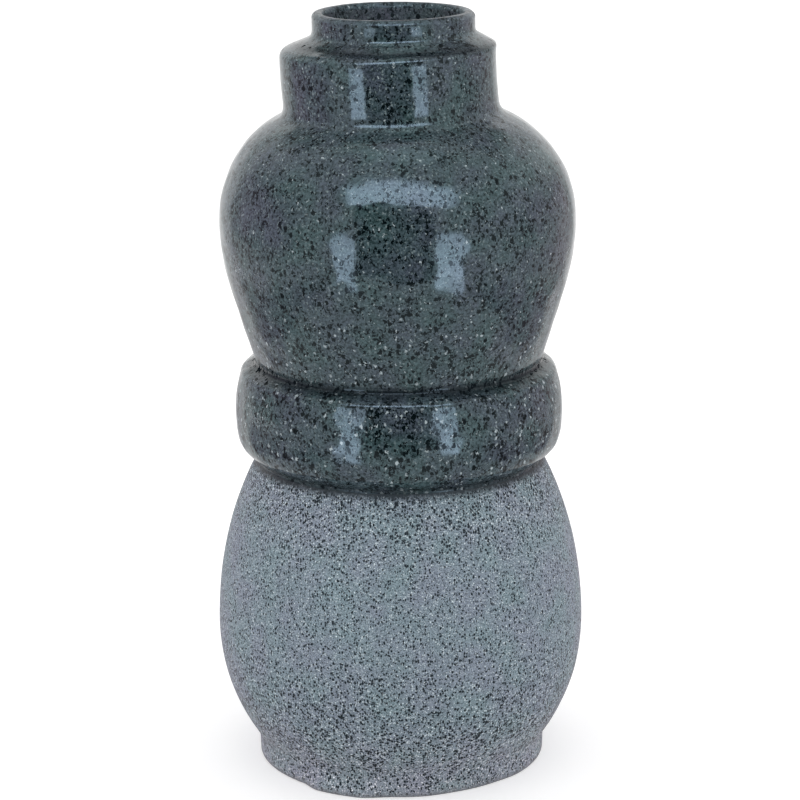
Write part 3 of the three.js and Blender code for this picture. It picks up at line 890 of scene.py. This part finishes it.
# A lit panel: its place, width and height, how soft its sides, foot and head are, its colour and strength,
# and how far its light falls off from foot to head
def panel(name, place, extent, soft, colour, strength, fall=0.0):
    w, h = (x / 2 for x in extent)
    side, foot, head = soft
    left, right, bottom, top = -w - side, w + side, -h - foot, h + head
    thing = stage_sheet(name, [(left, bottom, 0), (right, bottom, 0), (right, top, 0), (left, top, 0)])
    thing.matrix_world = place
    material = bpy.data.materials.new(name)
    material.use_nodes = True
    tree = material.node_tree
    tree.nodes.clear()
    spot = add(tree, "ShaderNodeSeparateXYZ", {0: add(tree, "ShaderNodeTexCoord").outputs["Object"]})
    across, up = math_node(tree, "ABSOLUTE", spot.outputs[0]), spot.outputs[1]
    fade = {"interpolation_type": "SMOOTHSTEP"}
    lit = remap(tree, across, w - side, w + side, 1.0, 0.0, **fade)
    lit = times(tree, lit, remap(tree, up, -h - foot, -h + foot, 0.0, 1.0, **fade))
    lit = times(tree, lit, remap(tree, up, h - head, h + head, 1.0, 0.0, **fade))
    power = remap(tree, up, -h, h, strength * (1 + fall), strength * (1 - fall))
    glow = add(tree, "ShaderNodeEmission", {"Color": (*colour, 1), "Strength": times(tree, lit, power)})
    clear = add(tree, "ShaderNodeBsdfTransparent")
    either = add(tree, "ShaderNodeMixShader", {0: lit, 1: clear.outputs[0], 2: glow.outputs[0]})
    add(tree, "ShaderNodeOutputMaterial", {0: either.outputs[0]})
    thing.data.materials.append(material)
    only_in_gloss(thing)


# Upright and facing the axis, at an azimuth in degrees from the front, a distance and a level
def facing(azimuth, distance, level):
    a = math.radians(azimuth)
    return (
        Matrix.Translation((math.sin(a) * distance, -math.cos(a) * distance, level))
        @ Matrix.Rotation(a, 4, "Z")
        @ Matrix.Rotation(UPRIGHT, 4, "X")
    )


# Level at a place above, or with its far edge tipped up by an angle in degrees
def overhead(place, tip=0.0):
    return Matrix.Translation(place) @ Matrix.Rotation(math.radians(tip), 4, "X")


make_floor()
make_world()

# Two upright panels and a bar above them, which the gloss mirrors in front
BAR, BRIGHT = (0.74, 0.84, 1.0), 6.2
RIGHT_POWER, TOP_POWER = 1.10 * BRIGHT, 1.17 * BRIGHT
TOP_PLACE, TOP_TIP = (0.012, -0.406, 0.604), 43
panel("panel_left", facing(-32, 0.40, 0.1315), (0.102, 0.237), (0.006, 0.03, 0.03), BAR, BRIGHT, 0.20)
panel("panel_right", facing(31, 0.40, 0.1375), (0.112, 0.235), (0.008, 0.034, 0.03), BAR, RIGHT_POWER, 0.26)
panel("panel_top", overhead(TOP_PLACE, TOP_TIP), (0.72, 0.231), (0.10, 0.008, 0.075), BAR, TOP_POWER)

# Tinted cards: lilac grey beside the vase, pale grey low behind it, a grey ceiling further back and a
# faint glow over it
LEFT_TINT, RIGHT_TINT, LOW_TINT = (0.70, 0.56, 0.68), (0.75, 0.66, 0.70), (0.45, 0.37, 0.43)
BACK_TINT, CEILING_TINT, OVER_TINT = (0.70, 0.70, 0.72), (0.3, 0.3, 0.3), (0.85, 1.0, 1.0)
panel("card_left", facing(-92, 0.30, 0.26), (0.30, 0.22), (0.08, 0.06, 0.10), LEFT_TINT, 1.0)
panel("card_right", facing(108, 0.30, 0.19), (0.34, 0.20), (0.10, 0.06, 0.06), RIGHT_TINT, 1.0)
panel("card_low_left", facing(-88, 0.28, 0.04), (0.40, 0.06), (0.09, 0.01, 0.04), LOW_TINT, 1.0)
panel("card_low_right", facing(88, 0.28, 0.04), (0.40, 0.06), (0.09, 0.01, 0.04), LOW_TINT, 1.0)
panel("card_low_back", facing(180, 0.26, 0.05), (0.40, 0.10), (0.08, 0.01, 0.03), BACK_TINT, 1.0)
panel("card_behind", overhead((0, 0.75, 1.2)), (1.6, 0.9), (0.2, 0.12, 0.12), CEILING_TINT, 1.0)
panel("card_over", overhead((0.05, -0.10, 1.2)), (0.6, 0.4), (0.15, 0.12, 0.12), OVER_TINT, 1.8)


# A dark card in front, which keeps the gloss between the panels dark
DARK_LEFT, DARK_RIGHT, DARK_DISTANCE, DARK_FOOT, DARK_HEAD = -0.227, 0.208, -0.5, 0.001, 0.54


def make_dark_card():
    card = stage_sheet("dark_opening", [
        (DARK_LEFT, DARK_DISTANCE, DARK_FOOT), (DARK_RIGHT, DARK_DISTANCE, DARK_FOOT),
        (DARK_RIGHT, DARK_DISTANCE, DARK_HEAD), (DARK_LEFT, DARK_DISTANCE, DARK_HEAD),
    ])
    material, tree, shader = new_material("dark_card")
    connect(tree, shader, {"Base Color": DARK_TONE, "Roughness": 1.0, "Specular IOR Level": 0.0})
    card.data.materials.append(material)
    only_in_gloss(card)


make_dark_card()

# Soft lilac light from both sides, which the gloss doesn't mirror
SIDE_SIZE, SIDE_POWER, SIDE_COLOUR = 0.6, 2.0, (1.0, 0.77, 0.83)
SIDE_DISTANCE, SIDE_LEVEL = 1.0, 0.2
for name, azimuth in (("side_light_left", -100), ("side_light_right", 100)):
    lamp = bpy.data.lights.new(name, "AREA")
    lamp.shape, lamp.size, lamp.energy, lamp.color = "SQUARE", SIDE_SIZE, SIDE_POWER, SIDE_COLOUR
    light = bpy.data.objects.new(name, lamp)
    light.matrix_world = facing(azimuth, SIDE_DISTANCE, SIDE_LEVEL)
    light.visible_glossy = light.visible_camera = False
    scene.collection.objects.link(light)

# Camera: place in metres, pitch and roll in degrees, lens and sensor in millimetres
EYE_PLACE, EYE_PITCH, EYE_ROLL = (0.00042, -1.1028, 0.4361), -14.758, -0.44
LENS, SENSOR, NEAR, FAR = 129.18, 36.0, 0.01, 50
camera = bpy.data.cameras.new("camera")
camera.lens, camera.sensor_width = LENS, SENSOR
camera.clip_start, camera.clip_end = NEAR, FAR
eye = bpy.data.objects.new("camera", camera)
eye.matrix_world = (
    Matrix.Translation(EYE_PLACE)
    @ Matrix.Rotation(UPRIGHT + math.radians(EYE_PITCH), 4, "X")
    @ Matrix.Rotation(math.radians(EYE_ROLL), 4, "Z")
)
scene.collection.objects.link(eye)
scene.camera = eye
